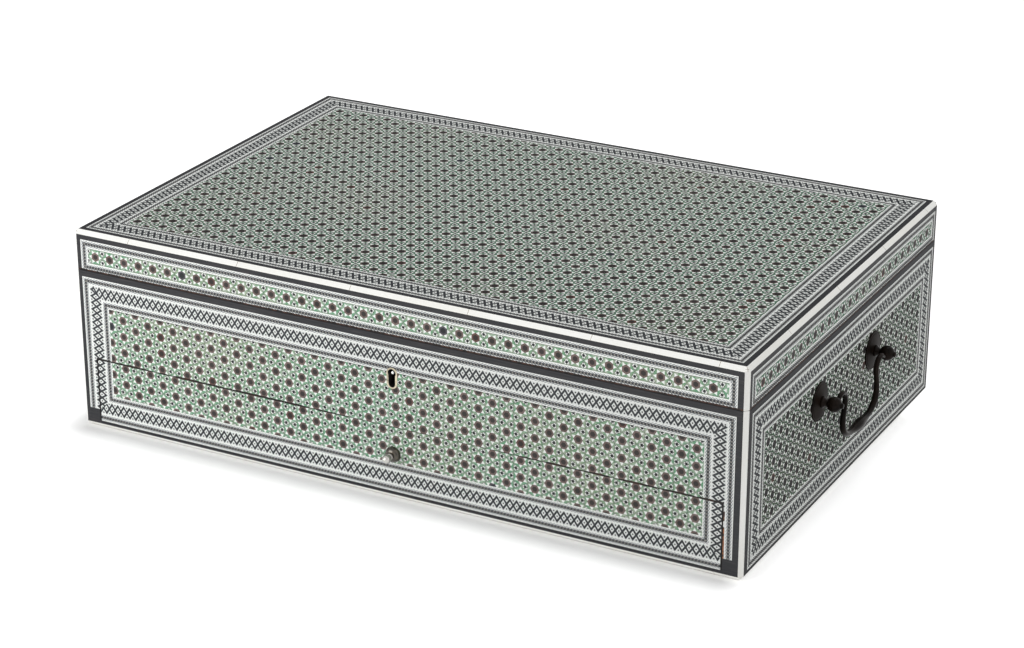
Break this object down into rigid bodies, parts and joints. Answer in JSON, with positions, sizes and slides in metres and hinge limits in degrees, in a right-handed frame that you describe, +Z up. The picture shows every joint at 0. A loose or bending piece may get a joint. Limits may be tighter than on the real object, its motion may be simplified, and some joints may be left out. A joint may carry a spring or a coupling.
{
  "type": "writing box",
  "caption": "Rectangular writing box in sadeli mosaic with ebony and bone edging: hinged flat lid, full-width drawer, box lock, swan-neck side handles and a fitted interior.",
  "frame": {"origin": "centre of the flat underside of the base board, where the box stands", "axes": "+X along the width to the right-hand handle, -Y out of the front with the keyhole and the drawer, +Z up"},
  "size_m": [0.5328, 0.3476, 0.146],
  "materials": {
    "mosaic": "polished sadeli mosaic of green-stained bone, white bone and dark wood, framed in ebony",
    "bone": "polished bone strip, faintly creamed with age",
    "teak": "oiled dark carcass wood",
    "sandalwood": "waxed pale brown wood",
    "bronze": "dark bronze patina, worn lighter on the high spots",
    "brass": "aged brass",
    "steel": "dull steel",
    "velvet": "worn crimson velvet",
    "glass": "clear thick bottle glass"
  },
  "bodies": {
    "carcass": {"base_board": "teak", "front_wall": "teak", "left_wall": "teak", "right_wall": "teak", "back_wall": "teak", "drawer_deck": "teak", "front_veneer": "mosaic", "left_veneer": "mosaic", "right_veneer": "mosaic", "back_veneer": "mosaic", "corner_edging_front_left": "bone", "corner_edging_front_right": "bone", "corner_edging_back_left": "bone", "corner_edging_back_right": "bone", "base_edging": "bone", "keyhole_liner": "brass", "lock_plate": "brass", "lock_case": "brass", "hinge_left_body_leaf": "brass", "hinge_right_body_leaf": "brass", "hinge_left_pin": "steel", "hinge_right_pin": "steel", "handle_rose_left_front": "bronze", "handle_rose_left_back": "bronze", "handle_rose_right_front": "bronze", "handle_rose_right_back": "bronze", "handle_post_left_front": "bronze", "handle_post_left_back": "bronze", "handle_post_right_front": "bronze", "handle_post_right_back": "bronze", "long_divider": "sandalwood", "left_divider": "sandalwood", "right_divider": "sandalwood", "board_ledge": "sandalwood"},
    "lock_bolt": {"lock_bolt": "steel"},
    "lid": {"lid_board": "teak", "lid_frame": "teak", "lid_top_veneer": "mosaic", "lid_front_veneer": "mosaic", "lid_back_veneer": "mosaic", "lid_left_veneer": "mosaic", "lid_right_veneer": "mosaic", "lid_edging": "bone", "lid_lining": "velvet", "hinge_left_lid_leaf": "brass", "hinge_right_lid_leaf": "brass", "link_plate": "brass"},
    "left_bail": {"left_bail": "bronze"},
    "right_bail": {"right_bail": "bronze"},
    "drawer": {"drawer_front": "teak", "drawer_veneer": "mosaic", "drawer_left_side": "sandalwood", "drawer_right_side": "sandalwood", "drawer_back": "sandalwood", "drawer_bottom": "sandalwood", "drawer_knob": "brass"},
    "pen_tray": {"pen_tray": "sandalwood"},
    "writing_board": {"writing_board": "sandalwood"},
    "ink_bottle_left": {"ink_bottle_left": "glass"},
    "ink_bottle_right": {"ink_bottle_right": "glass"}
  },
  "joints": [
    {"name": "lid_hinge", "type": "hinge", "parent": "carcass", "child": "lid", "pos_m": [0, 0.1684, 0.1172], "axis": [-1, 0, 0], "range_deg": [0, 100]},
    {"name": "drawer_slide", "type": "slide", "parent": "carcass", "child": "drawer", "axis": [0, -1, 0], "range_m": [0, 0.24]},
    {"name": "lock_bolt_slide", "type": "slide", "parent": "carcass", "child": "lock_bolt", "axis": [1, 0, 0], "range_m": [0, 0.005]},
    {"name": "right_bail_swing", "type": "hinge", "parent": "carcass", "child": "right_bail", "pos_m": [0.2606, 0, 0.077], "axis": [0, -1, 0], "range_deg": [-12, 90]},
    {"name": "left_bail_swing", "type": "hinge", "parent": "carcass", "child": "left_bail", "pos_m": [-0.2606, 0, 0.077], "axis": [0, 1, 0], "range_deg": [-12, 90]},
    {"name": "writing_board_lift", "type": "slide", "parent": "carcass", "child": "writing_board", "axis": [0, 0, 1], "range_m": [0, 0.02]},
    {"name": "pen_tray_lift", "type": "slide", "parent": "carcass", "child": "pen_tray", "axis": [0, 0, 1], "range_m": [0, 0.02]},
    {"name": "ink_bottle_left_lift", "type": "slide", "parent": "carcass", "child": "ink_bottle_left", "axis": [0, 0, 1], "range_m": [0, 0.02]},
    {"name": "ink_bottle_right_lift", "type": "slide", "parent": "carcass", "child": "ink_bottle_right", "axis": [0, 0, 1], "range_m": [0, 0.02]}
  ]
}
